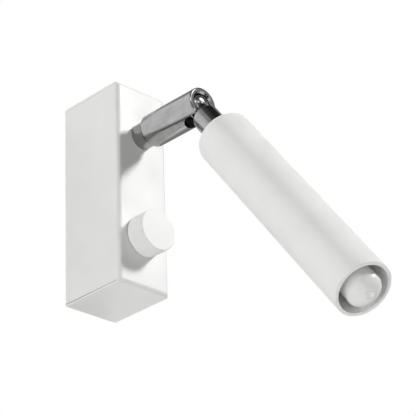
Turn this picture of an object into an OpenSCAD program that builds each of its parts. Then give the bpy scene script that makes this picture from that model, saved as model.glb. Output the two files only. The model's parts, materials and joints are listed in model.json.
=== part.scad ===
// Pivoting spotlight wall light: a folded wall box with a dimmer knob, a slotted swivel arm
// and a tube head on a ball stem. Millimetres, +Z up, the wall is the plane y = 0 and the light
// faces -Y. The origin is the middle of the bracket's back face.

/* [Wall box] */
// Width of the box
box_w = 30; // [30:0.5:40]
// Depth of the box from the wall
box_d = 37.5; // [37.5:0.5:50]
// Height of the box
box_h = 103; // [102:1:140]
// Thickness of the cover's sheet
sheet_t = 0.8; // [0.6:0.1:1]
// Outer radius of the folds round the front
fold_r = 2; // [1.5:0.1:3]
// Open seam between the side flaps and the top and bottom flaps
seam_gap = 0.15; // [0.1:0.05:0.3]

/* [Wall bracket] */
// Thickness of the bracket's sheet
plate_t = 1.5; // [1.2:0.1:2]
// Gap between the bracket's edges and the cover
plate_gap = 0.3; // [0.2:0.1:0.6]
// Width of the wall screw slots
slot_w = 4.5; // [4:0.1:5]
// Length of the wall screw slots
slot_l = 9; // [8:0.5:11]
// Distance between the middles of the wall screw slots
slot_pitch = 76; // [74:1:78]
// Depth of the bracket's tabs from the wall
tab_d = 13; // [12:0.5:15]
// Width of the bracket's tabs
tab_w = 18; // [16:0.5:20]
// Height of the cable hole's middle above the middle of the bracket
cable_z = 19.5; // [19:0.5:21]
// Bore of the cable grommet
cable_d = 8; // [6:0.5:8]

/* [Dimmer and knob] */
// Height of the knob's axis above the box's bottom
knob_above_bottom = 26; // [25:0.5:28]
// Diameter of the knob
knob_d = 20.2; // [18:0.2:24]
// Distance from the box's front to the knob's face
knob_h = 10; // [9.5:0.5:14]
// Running gap behind the knob
knob_gap = 0.3; // [0.2:0.1:0.5]
// Edge radius of the knob
knob_edge = 0.6; // [0.3:0.1:1]
// Diameter of the dimmer's shaft
shaft_d = 6; // [5:0.5:6]

/* [Arm] */
// Depth of the arm's axis below the box's top
arm_below_top = 25.2; // [24:0.2:27]
// Diameter of the spindle's collar
collar_d = 12.6; // [12.4:0.1:13]
// Length of the collar in front of the box
collar_l = 6.3; // [5:0.1:8]
// Diameter of the swivel barrel
barrel_d = 16; // [15.6:0.2:18]
// Distance from the box's front to the barrel's mouth
mouth_l = 42; // [42:0.5:50]
// Distance from the barrel's mouth back to the ball's centre
mouth_to_ball = 4.6; // [4.4:0.1:5]
// Diameter of the ball
ball_d = 11.5; // [11.3:0.1:11.7]
// Width of the slot under the barrel
slot_under_w = 9.2; // [9:0.1:9.4]
// Distance from the ball's centre back to the middle of the slot's round end
slot_back = 1.7; // [1.5:0.1:2.2]

/* [Head] */
// Tilt of the head below the arm's axis
head_tilt = 53.3; // [0:0.1:90]
// Outer diameter of the head tube
tube_d = 26; // [26:0.5:32]
// Wall of the head tube
tube_wall = 1.5; // [1.2:0.1:1.5]
// Length of the head tube
tube_l = 125; // [122:1:150]
// Distance from the ball's centre to the tube
tube_start = 28.9; // [26:0.1:34]
// Diameter of the neck sleeve
neck_d = 12.6; // [12:0.1:13]
// Distance from the ball's centre to the neck sleeve
neck_start = 9.7; // [9.6:0.1:10.4]
// Diameter of the ball's stem
stem_d = 8.4; // [8.2:0.1:8.6]

/* [Lamp] */
// Diameter of the lamp's cover
bulb_d = 16; // [15:0.5:16.5]
// Length of the lamp from its base to its tip
bulb_l = 49; // [46:0.5:52]
// Height of the lamp's dome
dome_h = 4.8; // [4:0.2:7]
// Length of the lamp that stands out of the tube
bulb_out = 4.7; // [0:0.1:6]

/* [Hidden] */
$fn = 64;

// Overrun of every cut, and the small clearances that the pieces share
cut = 1;
thread_gap = 0.02;
running_gap = 0.05;
swivel_gap = 0.1;

// Places of the box
top_z = box_h / 2;
inner_top = top_z - sheet_t;
inner_w = box_w - 2 * sheet_t;
inner_front = box_d - sheet_t;
arm_z = top_z - arm_below_top;
knob_z = -top_z + knob_above_bottom;

// Cover hook and bracket tabs
hook_t = 1;
hook_w = 8;
hook_foot_l = 11;
hook_leg_h = 7;
hook_leg_y = 7;
hook_play = 0.3;
slot_play = 0.4;
plate_w = inner_w - 2 * plate_gap;
low_tab_z = -inner_top + hook_t + hook_play;

// Cover screw
cover_screw_y = 8;
m3_r = 1.5;
m3_hole_r = 1.7;
m3_head_r = 2.8;
m3_head_h = 1.8;
cover_screw_l = 5;
cross_reach_share = 0.6;
cross_width_share = 0.27;
cross_depth_share = 0.6;

// Grommet
grommet_wall = 1.2;
grommet_lip_w = 1.6;
grommet_lip_t = 1.6;

// Terminal block, between the knob's and the arm's heights
poles = 3;
block_side_gap = 1.7;
block_margin = 0.5;
block_w = inner_w - 2 * block_side_gap;
pole_pitch = (block_w - 2 * block_margin) / poles;
block_h = 16;
block_d = 14;
block_rise = 1.6;
block_z = (knob_z + arm_z) / 2 + block_rise;
block_low_z = block_z - block_h / 2;
block_top_z = block_z + block_h / 2;
insert_r_share = 0.3;
insert_wall = 0.8;
insert_r = pole_pitch * insert_r_share;
insert_bore_r = insert_r - insert_wall;
insert_l = 13;
block_screw_r = 1.3;
block_screw_hole_r = 1.8;
block_screw_pitch = 7;
block_screw_gap = 0.3;
block_fix_r_share = 0.15;
block_fix_r = pole_pitch * block_fix_r_share;
block_fix_head_r = 1.9;
block_fix_head_h = 1.4;
block_fix_depth = 9.8;
screw_slot_w = 0.4;
screw_slot_d = 0.5;
insert_y = plate_t + block_d / 2;

// Earth point
earth_edge = 5.4;
earth_rise = 9;
earth_x = plate_w / 2 - earth_edge;
earth_z = cable_z + earth_rise;
m4_r = 2;
m4_head_r = 3.6;
m4_head_h = 2.4;
lug_t = 0.8;
lug_r = 3.8;
lug_crimp_r = 1.6;
lug_crimp_l = 5;

// Dimmer, measured forward from the wall where it follows the box's front
pot_r = 8.5;
pot_l = 9;
bush_r = 3.5;
bush_out = 4;
bush_root = 2;
bush_hole_gap = 0.1;
dimmer_washer_r = 5.6;
dimmer_washer_t = 0.5;
dimmer_nut_af = 10;
dimmer_nut_t = 2;
recess_gap = 0.8;
recess_side_gap = 1;
shaft_root = 5;
shaft_tip_gap = 0.3;
shaft_flat_share = 0.5;
knob_front_t = 1.6;
pot_back = inner_front - pot_l;

// Dimmer's board, up to just above the terminal block's lower edge
board_t = 1.6;
board_side_gap = 1.7;
board_floor_gap = 12.6;
board_overlap = 1.9;
board_w = inner_w - 2 * board_side_gap;
board_bottom = -inner_top + board_floor_gap;
board_top = block_low_z + board_overlap;
board_back = pot_back - board_t;
capacitor_w = 6;
capacitor_l = 13;
capacitor_d = 11;
capacitor_x_share = -0.3;
capacitor_drop = 7;
choke_r_share = 0.24;
choke_bore_r = 2.4;
choke_t = 5;
choke_x_share = 0.22;
choke_drop = 6;
triac_w_share = 0.4;
triac_h_share = 0.42;
triac_t = 4.5;
triac_tab_t = 1.3;
triac_tab_h_share = 0.28;
triac_x_share = 0.24;
triac_rise = 1.5;

// Arm, measured forward from the wall
spindle_thread_r = 5;
spindle_hole_gap = 0.1;
spindle_in = 9.8;
spindle_bore_r = 2.5;
journal_r = 4;
floor_t = 5.4;
arm_washer_r = 8.5;
arm_washer_t = 1;
arm_tag_w = 4;
arm_tag_l = 5;
arm_nut_af = 14;
arm_nut_t = 4;
chamfer_l = 1.9;
collar_front = box_d + collar_l;
barrel_back = collar_front + swivel_gap;
barrel_front = box_d + mouth_l;
cavity_back = barrel_back + floor_t;
cavity_r = ball_d / 2 + running_gap;
pivot_y = barrel_front - mouth_to_ball;
mouth_r = 5.3;
mouth_chamfer_r = 6.1;
mouth_chamfer_l = 1.1;
mouth_edge_r = 0.8;
washer_t = 0.6;
washer_play = 0.3;
clip_t = 0.8;
clip_groove = 0.6;
clip_gap_w = 3;
clip_side_gap = 0.05;
journal_tip = 1.5;
clip_back = cavity_back + swivel_gap + washer_t;
spindle_front = clip_back + clip_t + journal_tip;
thrust_washer_t = 0.6;
stop_pin_r = 0.5;
stop_pin_place_r = 5;
stop_pin_in = 2.4;
stop_pin_out = 1.3;
stop_groove_gap = 0.15;
stop_groove_floor = 0.3;
stop_land_w = 2;
cup_front_gap = 2.8;
cup_l = 8.2;
cup_side_gap = 0.1;
cup_bore_r = 3.2;
cup_notch_drop = 2.6;
cup_front = pivot_y - cup_front_gap;
cup_back = cup_front - cup_l;
spring_wire = 1;
spring_r = 4.6;
spring_curls = 4;
spring_rings = 8;
spring_sides = 6;
spring_end_gap = 0.08;

// Head, measured from the ball's centre along the head's axis
stem_bore_r = 2.2;
stem_thread_r = 4;
neck_edge = 0.4;
tube_edge = 1;
rim_edge = 0.2;
cap_t = 3;
cap_gap = 0.02;
strip_t = 1.2;
strip_w = 8;
strip_side_gap = 0.7;
foot_half = 8;
foot_share = 0.6;
cross_w = 12;
head_washer_r = 6.5;
head_washer_t = 0.8;
head_nut_af = 12;
head_nut_t = 3.5;
stem_tip = 1;
tube_end = tube_start + tube_l;
tube_inner_r = tube_d / 2 - tube_wall;
cap_front = tube_start + cap_t;
foot_front = cap_front + strip_t;
head_nut_back = foot_front + head_washer_t;
stem_end = head_nut_back + head_nut_t + stem_tip;

// Lamp and lampholder
bulb_tip = tube_end + bulb_out;
bulb_back = bulb_tip - bulb_l;
bulb_base_l = 10;
bulb_base_r_share = 0.93;
bulb_wall = 0.9;
dome_steps = 12;
nub_r = 2.1;
nub_h = 0.25;
nub_dip_r = 1.3;
nub_dip = 0.2;
core_w = 10;
core_t = 1.4;
core_end_gap = 6;
core_foot = 0.4;
core_chip_w = 2.4;
core_chip_l = 3;
core_chip_t = 0.7;
core_chip_pitch = 6;
core_chips = 4;
pin_pitch = 9;
pin_r = 0.4;
pin_loop_r = 1.3;
pin_l = 9.5;
pin_root = 2;
pin_sides = 24;
holder_r = 9;
holder_l = 18;
holder_front = bulb_back;
holder_back = holder_front - holder_l;
pin_slot_gap = 0.5;
pin_slot_l = 13;
holder_screw_pitch = 11;
holder_head_drop = 1.5;
holder_screw_out = 1.6;
contact_t = 0.4;
contact_w = 3;
contact_l = 9;
cross_back = holder_back - strip_t;

// Insulated leads
lead_r = 0.8;
lead_bore_r = 1.1;
lead_sides = 12;
bend_share = 0.4;
bend_steps = 4;
lead_in = 3;
spindle_back = box_d - spindle_in;
lead_spread = 1;
lead_bend_z = 3.5;
lead_loop_y = 4.5;
lead_board_gap = 0.3;
head_lead_start = -ball_d / 4;
head_lead_bend = 6;

// A child placed in front of the wall at a height, its +Z pointing forward
module from_wall(height) {
    translate([0, 0, height]) rotate([90, 0, 0]) children();
}

// A child on the arm's axis, its +Z pointing forward from the wall
module on_arm() {
    from_wall(arm_z) children();
}

// A child on the head's axis, its origin the ball's centre and its +Z pointing to the lamp
module on_head() {
    on_arm() translate([0, 0, pivot_y]) rotate([head_tilt, 0, 0]) children();
}

// A child at a point given as x, distance forward of the wall, and height
module at(place) {
    translate([place[0], -place[1], place[2]]) children();
}

// Plain ring along +Z from its back face
module ring(r, bore, h) {
    difference() {
        cylinder(r = r, h = h);
        translate([0, 0, -cut]) cylinder(r = bore, h = h + 2 * cut);
    }
}

// Hexagon nut along +Z
module hex_nut(across, bore, h) {
    difference() {
        cylinder(r = across / sqrt(3), h = h, $fn = 6);
        translate([0, 0, -cut]) cylinder(r = bore, h = h + 2 * cut);
    }
}

// Screw along +Z: shank from 0 to shank_l, cylinder head with a cross recess on top
module screw(shank_r, shank_l, head_r, head_h) {
    cylinder(r = shank_r, h = shank_l);
    translate([0, 0, shank_l]) difference() {
        cylinder(r = head_r, h = head_h);
        translate([0, 0, head_h * (1 - cross_depth_share)]) cross_recess(head_r, head_h);
    }
}

// Cross recess of a screw head
module cross_recess(head_r, depth) {
    reach = head_r * cross_reach_share;
    width = head_r * cross_width_share;
    for (turn = [0, 90]) rotate([0, 0, turn])
        translate([-reach, -width / 2, 0]) cube([2 * reach, width, depth]);
}

// One ring of a tube's wall: middle, direction along the tube, first side, radius and sides
function tube_ring(middle, along, side, r, sides) =
    let (other = cross(along, side))
    [for (k = [0:sides - 1])
        middle + r * (cos(360 * k / sides) * side + sin(360 * k / sides) * other)];

// Closed tube through a list of rings
module tube(rings) {
    sides = len(rings[0]);
    last = len(rings) - 1;
    wall = [
        for (i = [0:last - 1], k = [0:sides - 1])
            let (
                a = i * sides + k,
                b = i * sides + (k + 1) % sides,
                c = a + sides,
                d = b + sides
            )
            each [[a, c, b], [b, c, d]]
    ];
    start = [for (k = [1:sides - 2]) [0, k, k + 1]];
    end = [for (k = [1:sides - 2]) [last * sides, last * sides + k + 1, last * sides + k]];
    polyhedron([for (ring = rings) each ring], concat(wall, start, end));
}

// A route with each inner corner rounded by a short curve
function rounded_route(points) = [
    points[0],
    for (i = [1:len(points) - 2])
        let (
            before = points[i] + (points[i - 1] - points[i]) * bend_share,
            after = points[i] + (points[i + 1] - points[i]) * bend_share
        )
        for (k = [0:bend_steps])
            let (t = k / bend_steps)
            (1 - t) * (1 - t) * before + 2 * t * (1 - t) * points[i] + t * t * after,
    points[len(points) - 1]
];

// Round lead along a route, which never runs along the across direction
module lead(points, across) {
    route = rounded_route(points);
    last = len(route) - 1;
    tube([
        for (i = [0:last])
            let (
                run = route[min(i + 1, last)] - route[max(i - 1, 0)],
                along = run / norm(run),
                side = cross(across, along)
            )
            tube_ring(route[i], along, side / norm(side), lead_r, lead_sides)
    ]);
}

// Outline of a sheet folded round the front, +Y forward
module folded_outline(w, d, r) {
    translate([-w / 2, 0]) square([w, d - r]);
    translate([-w / 2 + r, 0]) square([w - 2 * r, d]);
    for (side = [-1, 1]) translate([side * (w / 2 - r), d - r]) circle(r);
}

// Block with all four front edges rounded, its back on the wall
module folded_block(w, d, h, r) {
    intersection() {
        translate([0, 0, -h / 2]) linear_extrude(h) mirror([0, 1]) folded_outline(w, d, r);
        rotate([0, 90, 0]) translate([0, 0, -w / 2]) linear_extrude(w) mirror([0, 1])
            folded_outline(h, d, r);
    }
}

// Open seam between one side flap and the top or bottom flap
module seam(side, end) {
    depth = box_d - fold_r;
    z = end * (inner_top - seam_gap / 2);
    x = side * (box_w / 2 - sheet_t / 2);
    translate([x, -depth / 2 + cut / 2, z]) cube([sheet_t + cut, depth + cut, seam_gap], center = true);
}

module housing_cover() {
    color("white") difference() {
        folded_block(box_w, box_d, box_h, fold_r);
        translate([0, cut, 0])
            folded_block(inner_w, inner_front + cut, 2 * inner_top, fold_r - sheet_t);
        for (side = [-1, 1], end = [-1, 1]) seam(side, end);
        on_arm() cylinder(r = spindle_thread_r + spindle_hole_gap, h = box_d + cut);
        from_wall(knob_z) cylinder(r = bush_r + bush_hole_gap, h = box_d + cut);
        translate([0, -cover_screw_y, 0]) cylinder(r = m3_hole_r, h = top_z + cut);
    }
}

module cover_hook() {
    color("gainsboro") translate([-hook_w / 2, 0, -inner_top]) {
        translate([0, -hook_leg_y - hook_foot_l, 0]) cube([hook_w, hook_foot_l, hook_t]);
        translate([0, -hook_leg_y - hook_t, 0]) cube([hook_w, hook_t, hook_leg_h]);
    }
}

module wall_bracket() {
    color("silver") difference() {
        union() {
            translate([-plate_w / 2, -plate_t, low_tab_z])
                cube([plate_w, plate_t, inner_top - low_tab_z]);
            translate([-tab_w / 2, -tab_d, inner_top - plate_t]) cube([tab_w, tab_d, plate_t]);
            translate([-tab_w / 2, -tab_d, low_tab_z]) cube([tab_w, tab_d, plate_t]);
        }
        for (end = [-1, 1]) from_wall(end * slot_pitch / 2) translate([0, 0, -cut]) {
            for (way = [-1, 1]) translate([0, way * (slot_l - slot_w) / 2, 0])
                cylinder(r = slot_w / 2, h = plate_t + 2 * cut);
            translate([-slot_w / 2, (slot_w - slot_l) / 2, 0])
                cube([slot_w, slot_l - slot_w, plate_t + 2 * cut]);
        }
        from_wall(cable_z) translate([0, 0, -cut])
            cylinder(r = cable_d / 2 + grommet_wall, h = plate_t + 2 * cut);
        translate([0, -cover_screw_y, inner_top - plate_t - cut])
            cylinder(r = m3_r + thread_gap, h = plate_t + 2 * cut);
        translate([-hook_w / 2 - slot_play, -hook_leg_y - hook_t - slot_play, low_tab_z - cut])
            cube([hook_w + 2 * slot_play, hook_t + 2 * slot_play, plate_t + 2 * cut]);
        for (x = [-1, 1]) from_wall(block_z) translate([x * pole_pitch / 2, 0, -cut])
            cylinder(r = block_fix_r + thread_gap, h = plate_t + 2 * cut);
        from_wall(earth_z) translate([earth_x, 0, -cut])
            cylinder(r = m4_r + thread_gap, h = plate_t + 2 * cut);
    }
}

module cover_screw() {
    color("silver") translate([0, -cover_screw_y, top_z - cover_screw_l])
        screw(m3_r, cover_screw_l, m3_head_r, m3_head_h);
}

module cable_grommet() {
    color("dimgray") from_wall(cable_z) difference() {
        union() {
            cylinder(r = cable_d / 2 + grommet_wall, h = plate_t);
            translate([0, 0, plate_t])
                cylinder(r = cable_d / 2 + grommet_wall + grommet_lip_w, h = grommet_lip_t);
        }
        translate([0, 0, -cut]) cylinder(r = cable_d / 2, h = plate_t + grommet_lip_t + 2 * cut);
    }
}

// Middle of each terminal, counted from the left
function pole_x(i) = (i - (poles - 1) / 2) * pole_pitch;

module terminal_block() {
    color("ivory") difference() {
        translate([-block_w / 2, -plate_t - block_d, block_low_z]) cube([block_w, block_d, block_h]);
        for (i = [0:poles - 1]) at([pole_x(i), insert_y, block_z]) {
            translate([0, 0, -block_h / 2 - cut])
                cylinder(r = insert_r + thread_gap, h = block_h + 2 * cut);
            for (way = [-1, 1]) translate([0, 0, way * block_screw_pitch / 2]) rotate([90, 0, 0])
                cylinder(r = block_screw_hole_r, h = block_d / 2 + cut);
        }
        for (x = [-1, 1]) from_wall(block_z) translate([x * pole_pitch / 2, 0, plate_t]) {
            translate([0, 0, -cut]) cylinder(r = block_fix_r + thread_gap, h = block_d + 2 * cut);
            translate([0, 0, block_fix_depth]) cylinder(r = block_fix_head_r, h = block_d);
        }
    }
}

module terminal_inserts() {
    color("goldenrod") for (i = [0:poles - 1]) at([pole_x(i), insert_y, block_z]) difference() {
        translate([0, 0, -insert_l / 2]) ring(insert_r, insert_bore_r, insert_l);
        for (way = [-1, 1]) translate([0, 0, way * block_screw_pitch / 2]) rotate([90, 0, 0])
            cylinder(r = block_screw_r + thread_gap, h = insert_r + cut);
    }
}

module terminal_screws() {
    start = insert_bore_r + block_screw_gap;
    color("silver") for (i = [0:poles - 1], way = [-1, 1])
        at([pole_x(i), insert_y + start, block_z + way * block_screw_pitch / 2]) rotate([90, 0, 0])
            difference() {
                length = block_d / 2 - start - block_margin;
                cylinder(r = block_screw_r, h = length);
                translate([-block_screw_r - cut, -screw_slot_w / 2, length - screw_slot_d])
                    cube([2 * (block_screw_r + cut), screw_slot_w, screw_slot_d + cut]);
            }
}

module terminal_fixing_screws() {
    color("silver") for (x = [-1, 1]) from_wall(block_z) translate([x * pole_pitch / 2, 0, 0])
        screw(block_fix_r, plate_t + block_fix_depth, block_fix_head_r - running_gap, block_fix_head_h);
}

module earth_screw() {
    color("silver") from_wall(earth_z) translate([earth_x, 0, 0])
        screw(m4_r, plate_t + lug_t, m4_head_r, m4_head_h);
}

module earth_lug() {
    color("gainsboro") from_wall(earth_z) translate([earth_x, 0, plate_t]) {
        ring(lug_r, m4_r + running_gap, lug_t);
        translate([0, lug_r + lug_crimp_l - running_gap, lug_crimp_r]) rotate([90, 0, 0])
            ring(lug_crimp_r, lead_r + thread_gap, lug_crimp_l);
    }
}

// Thread, bush and shaft stand on the dimmer's case, which lies on the front wall's inner face
module dimmer_body() {
    color("darkslategray") from_wall(knob_z) difference() {
        translate([0, 0, pot_back]) cylinder(r = pot_r, h = pot_l);
        translate([0, 0, inner_front - bush_root]) cylinder(r = bush_r, h = bush_root + cut);
        translate([0, 0, inner_front - shaft_root - running_gap])
            cylinder(r = shaft_d / 2 + running_gap, h = shaft_root + cut);
    }
}

module dimmer_bush() {
    color("silver") from_wall(knob_z) translate([0, 0, inner_front - bush_root])
        ring(bush_r, shaft_d / 2 + running_gap, bush_root + sheet_t + bush_out);
}

module dimmer_shaft() {
    length = knob_h - knob_front_t - shaft_tip_gap + sheet_t + shaft_root;
    flat_start = shaft_root + sheet_t + bush_out + recess_gap;
    color("gainsboro") from_wall(knob_z) translate([0, 0, inner_front - shaft_root]) difference() {
        cylinder(r = shaft_d / 2, h = length);
        translate([-shaft_d / 2 - cut, shaft_d / 2 * shaft_flat_share, flat_start])
            cube([shaft_d + 2 * cut, shaft_d, length + cut]);
    }
}

module dimmer_washer() {
    color("silver") from_wall(knob_z) translate([0, 0, box_d])
        ring(dimmer_washer_r, bush_r + thread_gap, dimmer_washer_t);
}

module dimmer_nut() {
    color("silver") from_wall(knob_z) translate([0, 0, box_d + dimmer_washer_t])
        hex_nut(dimmer_nut_af, bush_r + thread_gap, dimmer_nut_t);
}

// Knob with a recess over the nut and a bore with a flat for the shaft
module knob() {
    recess_r = dimmer_nut_af / sqrt(3) + recess_side_gap;
    recess_h = bush_out + recess_gap - knob_gap;
    height = knob_h - knob_gap;
    color("white") from_wall(knob_z) translate([0, 0, box_d + knob_gap]) difference() {
        union() {
            cylinder(r = knob_d / 2, h = height - knob_edge);
            cylinder(r = knob_d / 2 - knob_edge, h = height);
            translate([0, 0, height - knob_edge])
                rotate_extrude() translate([knob_d / 2 - knob_edge, 0]) circle(knob_edge);
        }
        translate([0, 0, -cut]) cylinder(r = recess_r, h = recess_h + cut);
        difference() {
            cylinder(r = shaft_d / 2 + thread_gap, h = height - knob_front_t);
            translate([-shaft_d, shaft_d / 2 * shaft_flat_share + thread_gap, 0])
                cube([2 * shaft_d, shaft_d, height]);
        }
    }
}

// Circuit board behind the dimmer's case
module dimmer_board() {
    color("darkgreen") translate([-board_w / 2, -board_back - board_t, board_bottom])
        cube([board_w, board_t, board_top - board_bottom]);
}

module dimmer_capacitor() {
    left = board_w * capacitor_x_share - capacitor_w / 2;
    color("firebrick") from_wall(knob_z)
        translate([left, -capacitor_drop, board_back - capacitor_d])
            cube([capacitor_w, capacitor_l, capacitor_d]);
}

module dimmer_choke() {
    color("peru") from_wall(knob_z)
        translate([board_w * choke_x_share, -choke_drop, board_back - choke_t])
            ring(board_w * choke_r_share, choke_bore_r, choke_t);
}

module dimmer_triac() {
    w = board_w * triac_w_share;
    h = (board_top - knob_z) * triac_h_share;
    tab_h = (board_top - knob_z) * triac_tab_h_share;
    left = board_w * triac_x_share - w / 2;
    color("dimgray") from_wall(knob_z) translate([left, triac_rise, board_back - triac_t]) {
        cube([w, h, triac_t]);
        translate([0, h, triac_t - triac_tab_t]) difference() {
            cube([w, tab_h, triac_tab_t]);
            translate([w / 2, tab_h / 2, -cut]) cylinder(r = m3_r, h = triac_tab_t + 2 * cut);
        }
    }
}

// Lead from the bottom of one terminal to the board's top edge
module board_lead(pole) {
    lead([
        [pole_x(pole), -insert_y, block_low_z + lead_in],
        [pole_x(pole), -insert_y, block_low_z - lead_bend_z],
        [pole_x(pole), -board_back + lead_board_gap + lead_r, board_top - lead_in / 2]
    ], [1, 0, 0]);
}

// Lead from the top of one terminal through the spindle's bore, to one side of its axis
module lamp_side_lead(pole, side) {
    lead([
        [pole_x(pole), -insert_y, block_top_z - lead_in],
        [pole_x(pole), -insert_y, block_top_z + lead_bend_z],
        [side * lead_spread, -spindle_back + lead_loop_y, arm_z],
        [side * lead_spread, -spindle_front + lead_in, arm_z]
    ], [1, 0, 0]);
}

module live_lead() {
    color("saddlebrown") board_lead(0);
}

module switched_lead() {
    color("dimgray") board_lead(1);
}

module lamp_lead() {
    color("dimgray") lamp_side_lead(1, -1);
}

module neutral_lead() {
    color("steelblue") lamp_side_lead(2, 1);
}

// Earth lead from the bracket's lug to the tag of the arm's washer
module earth_lead() {
    lug_y = plate_t + lug_crimp_r;
    crimp_end = earth_z + lug_r + lug_crimp_l;
    bend_z = (crimp_end + inner_top - plate_t) / 2;
    tag_y = inner_front - arm_washer_t - lead_board_gap - lead_r;
    tag_z = arm_z + arm_washer_r + arm_tag_l / 2;
    color("yellowgreen") lead([
        [earth_x, -lug_y, crimp_end - lug_crimp_l / 2],
        [earth_x, -lug_y, bend_z],
        [earth_x, -(lug_y + tag_y) / 2, tag_z],
        [0, -tag_y, tag_z]
    ], [1, 0, 0]);
}

// Fixed part of the arm: hollow thread, collar and journal in one turned piece
module arm_spindle() {
    color("silver") on_arm() difference() {
        union() {
            translate([0, 0, spindle_back]) cylinder(r = spindle_thread_r, h = spindle_in);
            translate([0, 0, box_d]) cylinder(r = collar_d / 2, h = collar_l);
            translate([0, 0, collar_front]) cylinder(r = journal_r, h = spindle_front - collar_front);
        }
        translate([0, 0, spindle_back - cut])
            cylinder(r = spindle_bore_r, h = spindle_front - spindle_back + 2 * cut);
        translate([0, 0, clip_back - clip_side_gap])
            ring(journal_r + cut, journal_r - clip_groove, clip_t + 2 * clip_side_gap);
        translate([0, stop_pin_place_r, collar_front - stop_pin_in])
            cylinder(r = stop_pin_r + thread_gap, h = stop_pin_in + cut);
    }
}

// Washer with a tag for the earth lead
module arm_washer() {
    color("silver") on_arm() translate([0, 0, inner_front - arm_washer_t]) difference() {
        union() {
            cylinder(r = arm_washer_r, h = arm_washer_t);
            translate([-arm_tag_w / 2, 0, 0]) cube([arm_tag_w, arm_washer_r + arm_tag_l, arm_washer_t]);
        }
        translate([0, 0, -cut])
            cylinder(r = spindle_thread_r + thread_gap, h = arm_washer_t + 2 * cut);
    }
}

module arm_nut() {
    color("silver") on_arm() translate([0, 0, inner_front - arm_washer_t - arm_nut_t])
        hex_nut(arm_nut_af, spindle_thread_r + thread_gap, arm_nut_t);
}

module stop_pin() {
    color("gray") on_arm() translate([0, stop_pin_place_r, collar_front - stop_pin_in])
        cylinder(r = stop_pin_r, h = stop_pin_in + stop_pin_out);
}

module swivel_washer() {
    color("silver") on_arm() translate([0, 0, cavity_back + swivel_gap])
        ring(cavity_r - washer_play, journal_r + running_gap, washer_t - clip_side_gap);
}

// Open spring clip in the journal's groove
module swivel_clip() {
    r = cavity_r - washer_play;
    color("gray") on_arm() translate([0, 0, clip_back]) difference() {
        ring(r, journal_r - clip_groove + clip_side_gap, clip_t);
        translate([-clip_gap_w / 2, 0, -cut]) cube([clip_gap_w, r + cut, clip_t + 2 * cut]);
    }
}

module thrust_washer() {
    color("silver") on_arm() translate([0, 0, spindle_front])
        ring(cavity_r - washer_play, spindle_bore_r, thrust_washer_t);
}

// Groove in the barrel's back face that runs on the stop pin, with a land at the bottom
module stop_groove() {
    depth = stop_pin_out + stop_groove_floor;
    reach = stop_pin_r + stop_groove_gap;
    difference() {
        ring(stop_pin_place_r + reach, stop_pin_place_r - reach, depth);
        translate([-stop_land_w / 2, -stop_pin_place_r - reach - cut, -cut])
            cube([stop_land_w, 2 * reach + 2 * cut, depth + 2 * cut]);
    }
}

// Solid outline of the barrel: back chamfer, body and rounded mouth edge
module barrel_blank() {
    r = barrel_d / 2;
    length = barrel_front - barrel_back;
    cylinder(r1 = collar_d / 2, r2 = r, h = chamfer_l);
    translate([0, 0, chamfer_l]) cylinder(r = r, h = length - chamfer_l - mouth_edge_r);
    translate([0, 0, chamfer_l]) cylinder(r = r - mouth_edge_r, h = length - chamfer_l);
    translate([0, 0, length - mouth_edge_r])
        rotate_extrude() translate([r - mouth_edge_r, 0]) circle(mouth_edge_r);
}

module swivel_barrel() {
    color("silver") on_arm() difference() {
        translate([0, 0, barrel_back]) barrel_blank();
        translate([0, 0, barrel_back - cut]) cylinder(r = journal_r + running_gap, h = floor_t + 2 * cut);
        translate([0, 0, cavity_back]) cylinder(r = cavity_r, h = pivot_y - cavity_back);
        translate([0, 0, pivot_y]) sphere(r = cavity_r);
        translate([0, 0, pivot_y]) cylinder(r = mouth_r, h = mouth_to_ball + cut);
        translate([0, 0, barrel_front - mouth_chamfer_l])
            cylinder(r1 = mouth_r, r2 = mouth_chamfer_r, h = mouth_chamfer_l);
        translate([0, 0, barrel_back]) stop_groove();
        stem_slot(0);
    }
}

// Slot that the stem tilts in, from a drop below the arm's axis downwards
module stem_slot(drop) {
    translate([0, -drop, pivot_y - slot_back]) rotate([90, 0, 0])
        cylinder(r = slot_under_w / 2, h = barrel_d);
    translate([-slot_under_w / 2, -drop - barrel_d, pivot_y - slot_back])
        cube([slot_under_w, barrel_d, slot_back + mouth_to_ball + cut]);
}

// Cup behind the ball, bored for the leads and notched for the stem
module ball_cup() {
    color("dimgray") on_arm() difference() {
        translate([0, 0, cup_back]) cylinder(r = cavity_r - cup_side_gap, h = cup_l);
        translate([0, 0, pivot_y]) sphere(r = cavity_r);
        translate([0, 0, cup_back - cut]) cylinder(r = cup_bore_r, h = cup_l + 2 * cut);
        stem_slot(cup_notch_drop);
    }
}

// Compression spring between the thrust washer and the cup, one unbroken tube
module cup_spring() {
    end_gap = spring_wire / 2 + spring_end_gap;
    back = spindle_front + thrust_washer_t + end_gap;
    rise = (cup_back - end_gap - back) / spring_curls;
    slope = atan2(rise, 2 * PI * spring_r);
    echo(spring_least_gap = rise * cos(slope) - spring_wire);
    color("gray") on_arm() translate([0, 0, back]) tube([
        for (i = [0:spring_curls * spring_rings])
            let (turn = 360 * i / spring_rings, out = [cos(turn), sin(turn), 0])
            tube_ring(
                spring_r * out + [0, 0, rise * i / spring_rings],
                [-sin(turn) * cos(slope), cos(turn) * cos(slope), sin(slope)],
                out, spring_wire / 2, spring_sides)
    ]);
}

// Ball, stem and hollow thread in one turned piece
module ball_stem() {
    color("gainsboro") on_head() difference() {
        union() {
            sphere(r = ball_d / 2);
            cylinder(r = stem_d / 2, h = neck_start);
            cylinder(r = stem_thread_r, h = stem_end);
        }
        translate([0, 0, -ball_d]) cylinder(r = stem_bore_r, h = stem_end + ball_d + cut);
    }
}

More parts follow.
